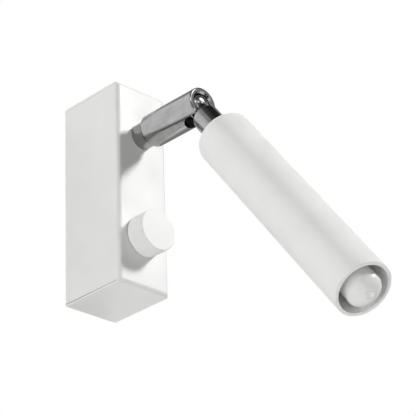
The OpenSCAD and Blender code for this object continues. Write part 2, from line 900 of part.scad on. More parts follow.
module neck_sleeve() {
    length = tube_start - neck_start;
    color("silver") on_head() translate([0, 0, neck_start]) difference() {
        union() {
            cylinder(r = neck_d / 2 - neck_edge, h = length);
            translate([0, 0, neck_edge]) cylinder(r = neck_d / 2, h = length - neck_edge);
            translate([0, 0, neck_edge])
                rotate_extrude() translate([neck_d / 2 - neck_edge, 0]) circle(neck_edge);
        }
        translate([0, 0, -cut]) cylinder(r = stem_thread_r + thread_gap, h = length + 2 * cut);
    }
}

module head_tube() {
    r = tube_d / 2;
    color("white") on_head() translate([0, 0, tube_start]) difference() {
        union() {
            cylinder(r = r - tube_edge, h = tube_l);
            translate([0, 0, tube_edge]) cylinder(r = r, h = tube_l - tube_edge - rim_edge);
            translate([0, 0, tube_edge]) rotate_extrude() translate([r - tube_edge, 0]) circle(tube_edge);
            translate([0, 0, tube_l - rim_edge]) cylinder(r1 = r, r2 = r - rim_edge, h = rim_edge);
        }
        translate([0, 0, -cut]) cylinder(r = tube_inner_r, h = tube_l + 2 * cut);
    }
}

module head_cap() {
    color("white") on_head() translate([0, 0, tube_start])
        ring(tube_inner_r - cap_gap, stem_thread_r + thread_gap, cap_t);
}

// Foot, strip and cross plate of the lampholder's bracket
module lampholder_bracket() {
    strip_out = sqrt(pow(tube_inner_r, 2) - pow(strip_w / 2, 2)) - strip_side_gap;
    color("silver") on_head() difference() {
        union() {
            translate([-foot_half, -foot_half, cap_front])
                cube([2 * foot_half, foot_half * (1 + foot_share), strip_t]);
            translate([-strip_w / 2, 0, cap_front]) cube([strip_w, strip_out, strip_t]);
            translate([-strip_w / 2, strip_out - strip_t, cap_front])
                cube([strip_w, strip_t, holder_back - cap_front]);
            translate([-cross_w / 2, -foot_half, cross_back]) cube([cross_w, 2 * foot_half, strip_t]);
            translate([-strip_w / 2, 0, cross_back]) cube([strip_w, strip_out, strip_t]);
        }
        translate([0, 0, cap_front - cut])
            cylinder(r = stem_thread_r + thread_gap, h = strip_t + 2 * cut);
        for (side = [-1, 1]) {
            translate([side * pin_pitch / 2, 0, cross_back - cut])
                cylinder(r = lead_bore_r, h = strip_t + 2 * cut);
            translate([0, side * holder_screw_pitch / 2, cross_back - cut])
                cylinder(r = m3_r + thread_gap, h = strip_t + 2 * cut);
        }
    }
}

module head_washer() {
    color("silver") on_head() translate([0, 0, foot_front])
        ring(head_washer_r, stem_thread_r + thread_gap, head_washer_t);
}

module head_nut() {
    color("silver") on_head() translate([0, 0, head_nut_back])
        hex_nut(head_nut_af, stem_thread_r + thread_gap, head_nut_t);
}

// Ceramic body with two pin pockets, two lead holes and two counterbored screw holes
module lampholder() {
    pocket_w = 2 * (pin_loop_r + pin_r + pin_slot_gap);
    pocket_t = 2 * (pin_r + contact_t + pin_slot_gap);
    color("linen") on_head() difference() {
        translate([0, 0, holder_back]) cylinder(r = holder_r, h = holder_l);
        for (side = [-1, 1]) {
            translate([side * pin_pitch / 2, 0, holder_front - pin_slot_l])
                translate([-pocket_t / 2, -pocket_w / 2, 0]) cube([pocket_t, pocket_w, pin_slot_l + cut]);
            translate([side * pin_pitch / 2, 0, holder_back - cut])
                cylinder(r = lead_bore_r, h = holder_l);
            translate([0, side * holder_screw_pitch / 2, holder_back - cut]) {
                cylinder(r = m3_r + thread_gap, h = holder_l + 2 * cut);
                translate([0, 0, holder_l + cut - holder_head_drop - m3_head_h])
                    cylinder(r = m3_head_r + running_gap, h = holder_l);
            }
        }
    }
}

// One flat spring beside each pin
module holder_contacts() {
    x = pin_pitch / 2 + pin_r + contact_t / 2;
    color("goldenrod") on_head() for (side = [-1, 1])
        translate([side * x, 0, holder_front - pin_slot_l + contact_l / 2])
            cube([contact_t, contact_w, contact_l], center = true);
}

module holder_screws() {
    shank = holder_l + strip_t + holder_screw_out - holder_head_drop - m3_head_h;
    color("silver") on_head() for (side = [-1, 1])
        translate([0, side * holder_screw_pitch / 2, cross_back - holder_screw_out])
            screw(m3_r, shank, m3_head_r, m3_head_h);
}

module head_leads() {
    color("white") on_head() for (side = [-1, 1]) lead([
        [side * lead_spread, 0, head_lead_start],
        [side * lead_spread, 0, stem_end + head_lead_bend],
        [side * pin_pitch / 2, 0, cross_back - head_lead_bend],
        [side * pin_pitch / 2, 0, holder_back + lead_in]
    ], [0, 1, 0]);
}

// Half outline of a domed body of revolution: radius across, the dome a quarter ellipse
function dome_outline(r, straight, rise) = concat(
    [[0, 0], [r, 0]],
    [for (i = [0:dome_steps]) [r * cos(90 * i / dome_steps), straight + rise * sin(90 * i / dome_steps)]]
);

module bulb_cover() {
    straight = bulb_l - bulb_base_l - dome_h;
    color("whitesmoke") on_head() translate([0, 0, bulb_back + bulb_base_l]) difference() {
        union() {
            rotate_extrude() polygon(dome_outline(bulb_d / 2, straight, dome_h));
            translate([0, 0, straight]) cylinder(r = nub_r, h = dome_h + nub_h);
        }
        translate([0, 0, -bulb_wall])
            rotate_extrude() polygon(dome_outline(bulb_d / 2 - bulb_wall, straight, dome_h));
        translate([0, 0, straight + dome_h + nub_h - nub_dip]) cylinder(r = nub_dip_r, h = nub_dip + cut);
    }
}

module bulb_base() {
    color("white") on_head() translate([0, 0, bulb_back]) difference() {
        cylinder(r = bulb_d / 2 * bulb_base_r_share, h = bulb_base_l);
        for (side = [-1, 1], way = [-1, 1])
            translate([side * pin_pitch / 2, way * pin_loop_r, -cut])
                cylinder(r = pin_r + thread_gap, h = pin_root + cut);
    }
}

// Two wire loops, each with two legs
module bulb_pins() {
    color("gainsboro") on_head() for (side = [-1, 1]) translate([side * pin_pitch / 2, 0, bulb_back]) {
        for (way = [-1, 1]) translate([0, way * pin_loop_r, -pin_l + pin_loop_r])
            cylinder(r = pin_r, h = pin_l - pin_loop_r + pin_root);
        translate([0, 0, -pin_l + pin_loop_r]) rotate([0, 90, 0]) intersection() {
            rotate_extrude() translate([pin_loop_r, 0]) circle(pin_r, $fn = pin_sides);
            translate([0, -pin_loop_r * 2, -pin_r * 2]) cube([pin_loop_r * 2, pin_loop_r * 4, pin_r * 4]);
        }
    }
}

// Board with a row of light sources on both faces, standing on the base
module led_core() {
    length = bulb_l - bulb_base_l - core_end_gap;
    color("khaki") on_head() translate([0, 0, bulb_back + bulb_base_l]) {
        translate([-core_w / 2, -core_t / 2, 0]) cube([core_w, core_t, length]);
        for (i = [0:core_chips - 1], face = [0, 180]) rotate([0, 0, face])
            translate([-core_chip_w / 2, core_t / 2 - core_foot, core_chip_pitch * (i + 1)])
                cube([core_chip_w, core_chip_t + core_foot, core_chip_l]);
    }
}

housing_cover();
cover_hook();
wall_bracket();
cover_screw();
cable_grommet();
terminal_block();
terminal_inserts();
terminal_screws();
terminal_fixing_screws();
earth_screw();
earth_lug();
dimmer_body();
dimmer_bush();
dimmer_board();
dimmer_capacitor();
dimmer_choke();
dimmer_triac();
dimmer_washer();
dimmer_nut();
live_lead();
switched_lead();
lamp_lead();
neutral_lead();
earth_lead();
arm_spindle();
arm_washer();
arm_nut();
stop_pin();
swivel_washer();
swivel_clip();
thrust_washer();
dimmer_shaft();
knob();
swivel_barrel();
ball_cup();
cup_spring();
ball_stem();
neck_sleeve();
head_tube();
head_cap();
lampholder_bracket();
head_washer();
head_nut();
lampholder();
holder_contacts();
holder_screws();
head_leads();
bulb_cover();
bulb_base();
bulb_pins();
led_core();
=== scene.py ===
"""Looks, stage and camera of a pivoting spotlight wall light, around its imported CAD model."""

import json
import math

import bmesh
import bpy
from bpy.props import FloatProperty, FloatVectorProperty, IntProperty, PointerProperty
from mathutils import Matrix, Vector


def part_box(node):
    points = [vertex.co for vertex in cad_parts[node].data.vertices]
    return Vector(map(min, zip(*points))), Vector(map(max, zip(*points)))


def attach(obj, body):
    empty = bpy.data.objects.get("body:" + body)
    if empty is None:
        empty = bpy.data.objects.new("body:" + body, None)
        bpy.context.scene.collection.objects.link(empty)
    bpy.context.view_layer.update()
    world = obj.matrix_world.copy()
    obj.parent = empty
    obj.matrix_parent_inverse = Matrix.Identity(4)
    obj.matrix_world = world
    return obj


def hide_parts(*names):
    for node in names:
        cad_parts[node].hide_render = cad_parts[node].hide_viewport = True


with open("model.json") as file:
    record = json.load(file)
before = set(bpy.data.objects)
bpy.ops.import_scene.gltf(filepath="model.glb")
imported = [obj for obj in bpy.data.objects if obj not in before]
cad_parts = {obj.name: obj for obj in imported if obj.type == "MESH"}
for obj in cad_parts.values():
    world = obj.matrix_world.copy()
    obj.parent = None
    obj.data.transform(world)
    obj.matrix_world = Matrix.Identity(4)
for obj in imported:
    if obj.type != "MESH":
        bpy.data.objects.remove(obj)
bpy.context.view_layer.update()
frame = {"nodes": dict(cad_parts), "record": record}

bl_info = {
    "name": "Pivoting spotlight wall light",
    "version": (1, 0, 0),
    "blender": (4, 5, 0),
    "location": "3D View > Sidebar > Wall light",
    "description": "Finishes, small parts, stage and camera of a pivoting spotlight wall light",
    "category": "Object",
}

SLOT_COLOURS = {m["slot"]: tuple(m["base_color"][:3]) for m in frame["record"]["materials"]}
NODE_SLOTS = {s["node"]: s["material_slot"] for s in frame["record"]["subparts"]}
CHROME_NODES = ("arm_spindle", "swivel_barrel", "ball_stem", "neck_sleeve")
# Nodes with a finish of their own, which follows their axis or knows their inner faces
OWN_FINISHES = {
    "ball_stem": "ball_chrome",
    "neck_sleeve": "head_chrome",
    "swivel_barrel": "barrel_chrome",
    "housing_cover": "cover_paint",
    "head_tube": "tube_paint",
}
# All finishes by name. The frame's own plain materials have the names of the slots in bpy.data.
FINISHES = {}
MM = 0.001

# Places of the model, in metres
ARM_AXIS = Vector((0.0, -1.0, 0.0))
PIVOT = Vector((0.0, -0.0749, 0.0263))
HEAD_TILT = math.radians(53.3)
HEAD_AXIS = Vector((0.0, -math.cos(HEAD_TILT), -math.sin(HEAD_TILT)))
BOARD_NORMAL = Vector((0.0, -math.sin(HEAD_TILT), math.cos(HEAD_TILT)))
# Half width of the barrel's slot, and the middle of its round end
SLOT_HALF, SLOT_BACK = 4.63 * MM, -73.2 * MM
# Radii that the inner wall of the tube, the barrel's bore and its cavity stay within, and where
# the cavity meets the barrel's mouth
TUBE_INNER = 11.6 * MM
BORE_RADIUS, CAVITY_RADIUS, CAVITY_FRONT = 5.35 * MM, 5.86 * MM, -78.35 * MM

# The folded cover, measured in from its outline: where its inner faces begin, how high its seams
# lie and how far behind its front they start, the height of the cut faces in them, and how deep
# the sides still count as outer surface
COVER_INNER, SEAM_DEPTH, SEAM_START = 0.6 * MM, 0.78 * MM, 1.9 * MM
SEAM_GAP, SIDE_SKIN = 0.2 * MM, 0.06 * MM
# Painted shade along a seam, on the outside: how far inside the seam its middle lies, how far from
# there it is full and where it ends, how far outside the seam it is cut off, and its strength in
# front and at back
LINE_INSET, LINE_FULL, LINE_END, LINE_CUT = 0.08 * MM, 0.12 * MM, 0.42 * MM, 0.1 * MM
LINE_FRONT, LINE_BACK = 0.25, 0.85

# Colours that are not in the record
# Painted shade: greys, from dark to lighter, for the cover's inner faces and along its lower seams
PAINTED_SHADE_DARK, PAINTED_SHADE_GREY = (0.12, 0.12, 0.12), (0.3, 0.3, 0.29)
# Painted shade: near black for the cut faces inside the cover's lower seams
SEAM_PAINTED_SHADE = (0.01, 0.01, 0.01)
# Painted light: whiter greys for the inside of the lamp's tube
PAINTED_LIGHT_DULL, PAINTED_LIGHT_WHITE = (0.96, 0.96, 0.95), (0.98, 0.98, 0.975)
# Painted shade: near black for the barrel's bore, cavity and slot
BORE_PAINTED_SHADE = (0.05, 0.05, 0.05)
EARTH_GREEN, EARTH_YELLOW = (0.16, 0.4, 0.08), (0.8, 0.68, 0.06)
PAD_TIN = (0.62, 0.6, 0.56)
BOARD_WHITE, SOURCE_YELLOW = (0.85, 0.85, 0.83), (0.9, 0.72, 0.2)

# Ring in the end of the lamp's cover: radius, half width and height
RING_RADIUS, RING_HALF, RING_HEIGHT = 1.9 * MM, 0.7 * MM, 0.12 * MM
# Distance from the light board's middle beyond which lie its light sources
SOURCE_FACE = 0.75 * MM

# Leads in the box: name, material slot, points in millimetres
LEADS = (
    ("live_lead", "brown_lead", ((-8, -8.5, -3), (-8, -8.5, -9.5), (-8, -25, -5.6))),
    ("switched_lead", "grey_lead", ((0, -8.5, -3), (0, -8.5, -9.5), (0, -25, -5.6))),
    ("lamp_lead", "grey_lead",
     ((0, -8.5, 7), (0, -8.5, 13.5), (-1, -23.2, 26.3), (-1, -49.3, 26.3))),
    ("neutral_lead", "blue_lead",
     ((8, -8.5, 7), (8, -8.5, 13.5), (1, -23.2, 26.3), (1, -49.3, 26.3))),
    ("earth_lead", "earth_lead",
     ((8.5, -3.1, 34.8), (8.5, -3.1, 43.25), (8.5, -18.85, 37.3), (0, -34.6, 37.3))),
)
# Leads in the head: distance off the middle and along the head's axis, in millimetres
HEAD_LEAD = ((1, -2.9), (1, 44.4), (4.5, 84.4), (4.5, 94.6))
# Share of each run that the bend at its end takes
BEND_SHARE = 0.4
# Distance between the rings of a lead, and the length of bare copper at its ends
LEAD_PITCH, LEAD_STRIP = 0.5 * MM, 2.6 * MM
# Radius of the copper and of the cut insulation, as shares of the lead's radius
COPPER_SHARE, CUT_SHARE = 0.58, 0.84
LEAD_ROUGHNESS = 0.38

# The cup spring: closed turns at each end, their pitch in wire widths, and points in a turn
SPRING_CLOSED, SPRING_PITCH, SPRING_POINTS = 0.85, 1.04, 36
# The choke: where its winding starts and how far round it goes, its bore as a share of its width,
# how round its section is, from 0 for square to 1 for round, and points in a turn of wire
CHOKE_START, CHOKE_ARC = math.radians(-70), math.radians(320)
CHOKE_BORE, CHOKE_ROUND, CHOKE_POINTS = 0.4, 0.55, 20
# The choke's core: how deep it lies under the wire's middle, in wire radii, and its faces along
# the ring and round its section
CORE_INSET, CORE_RINGS, CORE_SIDES = 1.2, 64, 24
# The capacitor: height that it stands off the board, rounding of its edges, then how far its foot
# is set in, how high that reaches and the rounding of its edges
CASE_STAND, CASE_BEVEL = 0.9 * MM, 0.8 * MM
FOOT_INSET, FOOT_TOP, FOOT_BEVEL = 0.35 * MM, 1.6 * MM, 0.15 * MM

# Soft lamps: name, direction from the object, distance and diameter in metres, light on a
# facing surface
LAMPS = (
    ("key_lamp", (0.55, -0.58, 0.6), 3.4, 0.64, 0.87),
    ("left_low_lamp", (-0.87, -0.08, -0.48), 1.6, 1.1, 0.41),
    ("left_high_lamp", (-0.94, 0.04, 0.33), 1.6, 1.1, 0.27),
    ("top_lamp", (-0.25, 0.23, 0.94), 1.6, 1.1, 0.36),
    ("left_front_lamp", (-0.63, -0.64, -0.45), 1.6, 1.1, 0.1),
    ("front_low_lamp", (0.0, -0.915, -0.404), 1.6, 1.1, 0.09),
    ("right_low_lamp", (0.54, -0.17, -0.83), 1.6, 1.1, 0.23),
    ("back_low_lamp", (0.25, 0.61, -0.75), 1.6, 1.1, 0.1),
    ("back_left_lamp", (-0.39, 0.92, -0.06), 1.6, 1.1, 0.22),
)
LAMP_TARGET = Vector((0.0, -0.07, 0.0))

# What the metal reflects: plain grey all round, then soft spots of direction, degrees that
# they fill, degrees where they end, and grey
DOME_RADIUS, DOME_GREY = 4.5, 0.55
DOME = (
    ((0.1, -0.1, 1.0), 40.0, 60.0, 0.1),
    ((0.2, -0.1, 1.0), 6.0, 34.0, 0.03),
    ((-0.12, -0.99, 0.03), 14.0, 34.0, 0.15),
    ((-0.9, -0.3, 0.2), 20.0, 50.0, 0.45),
    ((-0.76, -0.47, 0.45), 6.0, 14.0, 3.4),
    ((-0.38, -0.85, 0.36), 3.0, 8.0, 2.8),
    ((0.2, -0.64, 0.74), 6.0, 20.0, 4.0),
    ((0.46, -0.68, 0.57), 2.0, 6.0, 3.4),
    ((0.14, -0.91, 0.38), 2.0, 7.0, 2.6),
    ((0.2, -0.97, 0.14), 2.0, 6.0, 2.6),
    ((0.62, -0.42, -0.66), 3.0, 9.0, 1.1),
    ((0.0, -0.98, -0.2), 4.0, 11.0, 3.2),
)
# The wall that it reflects: half its width, and its distance behind the box's back
WALL_REACH, WALL_BACK = 0.6, 0.004
# Greys of the wall: near the box, far from it, towards its upper right, and in the box's shadow
WALL_NEAR, WALL_FAR, WALL_RIGHT, WALL_SHADE = 1.08, 0.47, 0.33, 0.2
# Distances over which the wall goes from near to far, and from there to its upper right, with
# the share of the height that counts for the latter
FAR_FADE, RIGHT_FADE, RIGHT_RISE = (0.11, 0.3), (0.02, 0.075), 0.55
# The box's shadow: where it ends and is full left of the box and below it, the slope and softness
# of its upper edge, and how far it keeps inside the box's right side
SHADE_LEFT, SHADE_BELOW = (0.046, 0.03), (0.045, 0.03)
SHADE_SLOPE, SHADE_SOFT, SHADE_INSET = 0.9, 0.006, 0.004

FLOOR_HEIGHT, FLOOR_REACH = -1.7, 3.0
FLOOR_COLOUR = (0.44, 0.44, 0.435, 1.0)
SQUARE = ((-1, -1), (1, -1), (1, 1), (-1, 1))


class WallLightFinishes(bpy.types.PropertyGroup):
    """Colours and surface qualities of the finishes."""

    paint_colour: FloatVectorProperty(
        name="White paint", description="Colour of the powder coat",
        subtype="COLOR", size=3, min=0.0, max=1.0, default=(0.86, 0.86, 0.85),
    )
    tube_colour: FloatVectorProperty(
        name="Tube paint", description="Colour of the powder coat on the lamp's tube",
        subtype="COLOR", size=3, min=0.0, max=1.0, default=(0.9, 0.9, 0.89),
    )
    paint_roughness: FloatProperty(
        name="Paint roughness", description="Roughness of the powder coat",
        subtype="FACTOR", min=0.0, max=1.0, default=0.5,
    )
    chrome_colour: FloatVectorProperty(
        name="Chrome", description="Colour of the chrome plate",
        subtype="COLOR", size=3, min=0.0, max=1.0, default=(0.42, 0.42, 0.42),
    )
    chrome_roughness: FloatProperty(
        name="Chrome roughness", description="Roughness of the chrome plate",
        subtype="FACTOR", min=0.0, max=1.0, default=0.1,
    )


class WallLightParts(bpy.types.PropertyGroup):
    """Sizes of the small parts inside."""

    lead_radius: FloatProperty(
        name="Lead radius", description="Radius of the leads over their insulation",
        subtype="DISTANCE", unit="LENGTH", min=0.0004, max=0.0008, default=0.0008, precision=5,
    )
    spring_wire: FloatProperty(
        name="Spring wire", description="Diameter of the cup spring's wire",
        subtype="DISTANCE", unit="LENGTH", min=0.0005, max=0.0012, default=0.001, precision=5,
    )
    spring_turns: IntProperty(
        name="Spring turns", description="Open turns of the cup spring", min=2, max=6, default=4,
    )
    choke_wire: FloatProperty(
        name="Choke wire", description="Diameter of the choke's wire",
        subtype="DISTANCE", unit="LENGTH", min=0.0003, max=0.0009, default=0.0007, precision=5,
    )
    choke_turns: IntProperty(
        name="Choke turns", description="Turns of wire round the choke's core",
        min=8, max=30, default=21,
    )


class WallLightStage(bpy.types.PropertyGroup):
    """Camera, lamps and floor."""

    turn: FloatProperty(
        name="Camera azimuth", description="Turn of the camera round the light, from the front",
        subtype="ANGLE", default=math.radians(-44.4971),
    )
    rise: FloatProperty(
        name="Camera elevation", description="Height of the camera above the horizon",
        subtype="ANGLE", default=math.radians(-26.6017),
    )
    roll: FloatProperty(
        name="Camera roll", description="Roll of the camera about its line of sight",
        subtype="ANGLE", default=math.radians(-2.1482),
    )
    distance: FloatProperty(
        name="Camera distance", description="Distance from the aim point to the camera",
        subtype="DISTANCE", unit="LENGTH", default=0.933635,
    )
    aim: FloatVectorProperty(
        name="Aim point", description="Point in the middle of the frame",
        subtype="TRANSLATION", unit="LENGTH", size=3, default=(0.025123, -0.0544, -0.009178),
    )
    lens: FloatProperty(
        name="Focal length", description="Focal length for a 36 mm sensor, in millimetres",
        min=10.0, max=500.0, default=174.72,
    )
    ambient: FloatProperty(
        name="Ambient light", description="Strength of the light that comes from all round",
        min=0.0, max=2.0, default=0.03,
    )
    lamps: FloatProperty(
        name="Lamps", description="Strength of all lamps together",
        min=0.0, max=5.0, default=1.0,
    )


class Finish:
    """One material: a Principled shader and the nodes that feed it. Lengths are in metres."""

    def __init__(self, name, metallic=0.0, **sockets):
        self.material = FINISHES[name] = bpy.data.materials.new(name)
        self.material.use_nodes = True
        self.tree = self.material.node_tree
        self.shader = self.tree.nodes["Principled BSDF"]
        self.shader.inputs["Metallic"].default_value = metallic
        for socket, value in sockets.items():
            self.shader.inputs[socket].default_value = value
        self.place = self.node("ShaderNodeTexCoord").outputs["Object"]
        self.normal = None

    def node(self, kind, inputs=None, **settings):
        """A new node; inputs maps socket names or numbers to values or to other nodes' outputs."""
        made = self.tree.nodes.new(kind)
        for key, value in settings.items():
            setattr(made, key, value)
        for key, value in (inputs or {}).items():
            socket = made.inputs[key]
            if isinstance(value, bpy.types.NodeSocket):
                self.tree.links.new(value, socket)
            else:
                socket.default_value = value
        return made

    def math(self, operation, first, second=0.0):
        """One sum or comparison of two values."""
        return self.node("ShaderNodeMath", {0: first, 1: second}, operation=operation).outputs[0]

    def product(self, first, *others):
        """All values multiplied: of masks, the place that they share."""
        for other in others:
            first = self.math("MULTIPLY", first, other)
        return first

    def off(self, value, middle):
        """How far a value is from a middle, on either side."""
        return self.math("ABSOLUTE", self.math("SUBTRACT", value, middle))

    def diagonal(self, first, second):
        """Distance that two distances at right angles make."""
        squares = [self.math("POWER", side, 2.0) for side in (first, second)]
        return self.math("SQRT", self.math("ADD", *squares))

    def vector(self, operation, first, second=(0.0, 0.0, 0.0), scale=1.0):
        """One sum of vectors, whose result is a number for a dot product or a length."""
        inputs = {0: first, 1: second, 3: scale}
        made = self.node("ShaderNodeVectorMath", inputs, operation=operation)
        return made.outputs["Value" if operation in ("DOT_PRODUCT", "LENGTH") else "Vector"]

    def coordinates(self):
        """X, Y and Z of a point."""
        parts = self.node("ShaderNodeSeparateXYZ", {0: self.place}).outputs
        return parts["X"], parts["Y"], parts["Z"]

    def along(self, axis, origin=(0.0, 0.0, 0.0)):
        """Distance of a point along an axis from an origin."""
        shifted = self.vector("SUBTRACT", self.place, tuple(origin))
        return self.vector("DOT_PRODUCT", shifted, tuple(axis))

    def stretched(self, axis, share):
        """Coordinates in which detail is drawn out along an axis, to 1/share of its length."""
        axis = Vector(axis).normalized()
        back = self.vector("SCALE", tuple(axis * (share - 1.0)), scale=self.along(axis))
        return self.vector("ADD", self.place, back)

    def noise(self, size, detail=2.0, place=None):
        """Noise from 0 to 1 with features of about the given size."""
        inputs = {"Vector": place or self.place, "Scale": 1.0 / size, "Detail": detail}
        return self.node("ShaderNodeTexNoise", inputs).outputs["Fac"]

    def spread(self, value, low, high, start=0.3, end=0.7):
        """The value mapped from start..end to low..high."""
        made = self.node(
            "ShaderNodeMapRange",
            {"Value": value, "From Min": start, "From Max": end, "To Min": low, "To Max": high},
        )
        return made.outputs["Result"]

    def step(self, value, start, end):
        """Soft step from 0 at start to 1 at end."""
        made = self.node(
            "ShaderNodeMapRange", {"Value": value, "From Min": start, "From Max": end},
            interpolation_type="SMOOTHSTEP",
        )
        return made.outputs["Result"]

    def blend(self, share, first, second):
        """Mix of two numbers."""
        return self.node("ShaderNodeMix", {0: share, 2: first, 3: second}).outputs[0]

    def mix(self, amount, first, second):
        """Mix of two colours."""
        made = self.node("ShaderNodeMix", data_type="RGBA")
        for key, value in ((0, amount), (6, first), (7, second)):
            if isinstance(value, bpy.types.NodeSocket):
                self.tree.links.new(value, made.inputs[key])
            elif key:
                made.inputs[key].default_value = (*value[:3], 1.0)
            else:
                made.inputs[key].default_value = value
        return made.outputs[2]

    def bump(self, height, depth):
        """Adds relief of a depth in metres to the surface."""
        inputs = {"Height": height, "Distance": depth, "Strength": 1.0}
        if self.normal is not None:
            inputs["Normal"] = self.normal
        self.normal = self.node("ShaderNodeBump", inputs).outputs["Normal"]
        self.feed("Normal", self.normal)

    def feed(self, socket, value):
        """Links a value to one of the shader's sockets."""
        self.tree.links.new(value, self.shader.inputs[socket])


def toned(colour, share, most=1.0):
    """Darker or lighter colour, with no channel above a limit."""
    return tuple(min(c * share, most) for c in colour)


def cover_shade_and_highlight(f):
    """Masks of painted shade and highlight on the folded cover: painted shade on its inner faces,
    on the cut faces in its lower seams and in a band along them outside, and a painted highlight on
    the edges outside all seams. The upper seams get no painted shade.
    """
    low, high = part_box("housing_cover")
    middle = [(a + b) / 2 for a, b in zip(low, high)]
    half = [(b - a) / 2 for a, b in zip(low, high)]
    x, y, z = f.coordinates()
    across, rise = f.off(x, middle[0]), f.off(z, middle[2])
    inside = f.product(
        f.math("LESS_THAN", across, half[0] - COVER_INNER),
        f.math("LESS_THAN", rise, half[2] - COVER_INNER),
        f.math("GREATER_THAN", y, low[1] + COVER_INNER),
    )
    seam = half[2] - SEAM_DEPTH
    folded = f.math("GREATER_THAN", y, low[1] + SEAM_START)
    lower = f.math("LESS_THAN", z, middle[2])
    shaded_gap = f.product(
        f.math("LESS_THAN", rise, seam),
        f.math("GREATER_THAN", rise, seam - SEAM_GAP),
        f.math("LESS_THAN", across, half[0] - SIDE_SKIN),
        folded, lower,
    )
    outside = f.product(folded, f.math("GREATER_THAN", across, half[0] - SIDE_SKIN))
    line = f.product(
        f.spread(f.off(rise, seam - LINE_INSET), 1.0, 0.0, LINE_FULL, LINE_END),
        f.spread(y, LINE_FRONT, LINE_BACK, low[1], high[1]),
        outside,
        f.math("LESS_THAN", rise, seam + LINE_CUT),
        lower,
    )
    highlit_edge = f.product(outside, f.math("GREATER_THAN", rise, seam + LINE_CUT))
    return inside, shaded_gap, line, highlit_edge


def from_head_axis(f):
    """Distance of a point from the head's axis."""
    back = f.vector("SCALE", tuple(HEAD_AXIS), scale=f.along(HEAD_AXIS, PIVOT))
    shifted = f.vector("SUBTRACT", f.place, tuple(PIVOT))
    return f.vector("LENGTH", f.vector("SUBTRACT", shifted, back))


def tube_inside(f):
    """1 on the inner wall of the head's tube, which is painted whiter than its outside as painted
    light, and is glossier.
    """
    return f.math("LESS_THAN", from_head_axis(f), TUBE_INNER)


def barrel_inside(f):
    """1 on the barrel's bore, cavity and slot faces, 0 on its outer surfaces and its mouth."""
    across, along, rise = f.coordinates()
    drop = f.math("SUBTRACT", rise, PIVOT.z)
    radius = f.diagonal(across, drop)
    bore = f.math("LESS_THAN", radius, BORE_RADIUS)
    cavity = f.product(
        f.math("LESS_THAN", radius, CAVITY_RADIUS), f.math("GREATER_THAN", along, CAVITY_FRONT)
    )
    behind = f.math("MAXIMUM", f.math("SUBTRACT", along, SLOT_BACK), 0.0)
    slot = f.product(
        f.math("LESS_THAN", f.diagonal(across, behind), SLOT_HALF),
        f.math("LESS_THAN", drop, 0.0),
    )
    return f.math("MAXIMUM", f.math("MAXIMUM", bore, cavity), slot)


def powder_coat(name, colour, roughness, shade_and_highlight_of=None, painted_light_of=None):
    """Fine powder coat: orange peel, slight mottling and specks.

    shade_and_highlight_of(finish) gives the masks of a folded cover: painted shade darkens its
    inner faces and lower seams, and a painted highlight lightens the edges beside the seams. Where
    painted_light_of(finish) is 1, the inside of the lamp's tube is painted whiter, as painted
    light.
    """
    f = Finish(name, **{"Coat Weight": 0.08, "Coat Roughness": 0.35, "IOR": 1.5})
    peel = f.noise(0.55 * MM, detail=3.0)
    grain = f.noise(0.12 * MM, detail=1.0)
    cloud = f.noise(14 * MM, detail=3.0)
    warm = (colour[0], colour[1] * 0.998, colour[2] * 0.985)
    tone = f.mix(f.spread(cloud, 0.0, 1.0), toned(colour, 0.965), warm)
    specks = f.spread(f.noise(0.9 * MM, detail=2.0), 0.0, 0.35, 0.66, 0.8)
    tone = f.mix(specks, tone, toned(colour, 0.93))
    dull = f.spread(cloud, roughness - 0.06, roughness + 0.06)
    if shade_and_highlight_of:
        # Painted shade on the cover's inner faces, in patchy greys
        shade_patches = f.spread(f.noise(8 * MM, detail=4.0), 0.0, 1.0, 0.35, 0.65)
        inside, shaded_gap, line, highlit_edge = shade_and_highlight_of(f)
        tone = f.mix(inside, tone, f.mix(shade_patches, PAINTED_SHADE_DARK, PAINTED_SHADE_GREY))
        # Painted shade: the cut faces in the lower seams are near black
        tone = f.mix(shaded_gap, tone, SEAM_PAINTED_SHADE)
        # Painted shade: a grey band along the outside of the lower seams, darker towards the back
        tone = f.mix(line, tone, PAINTED_SHADE_GREY)
        # Painted highlight: the edges beside the seams are lighter than the paint
        tone = f.mix(highlit_edge, tone, toned(colour, 1.08, 0.97))
    if painted_light_of:
        # Painted light: the inside of the lamp's tube is whiter than its outside
        painted_light = painted_light_of(f)
        white = f.mix(f.spread(cloud, 0.0, 1.0), PAINTED_LIGHT_DULL, PAINTED_LIGHT_WHITE)
        tone = f.mix(painted_light, tone, white)
        dull = f.math("MULTIPLY", dull, f.spread(painted_light, 1.0, 0.75, 0.0, 1.0))
    f.feed("Base Color", tone)
    f.feed("Roughness", dull)
    f.bump(peel, 0.012 * MM)
    f.bump(grain, 0.003 * MM)


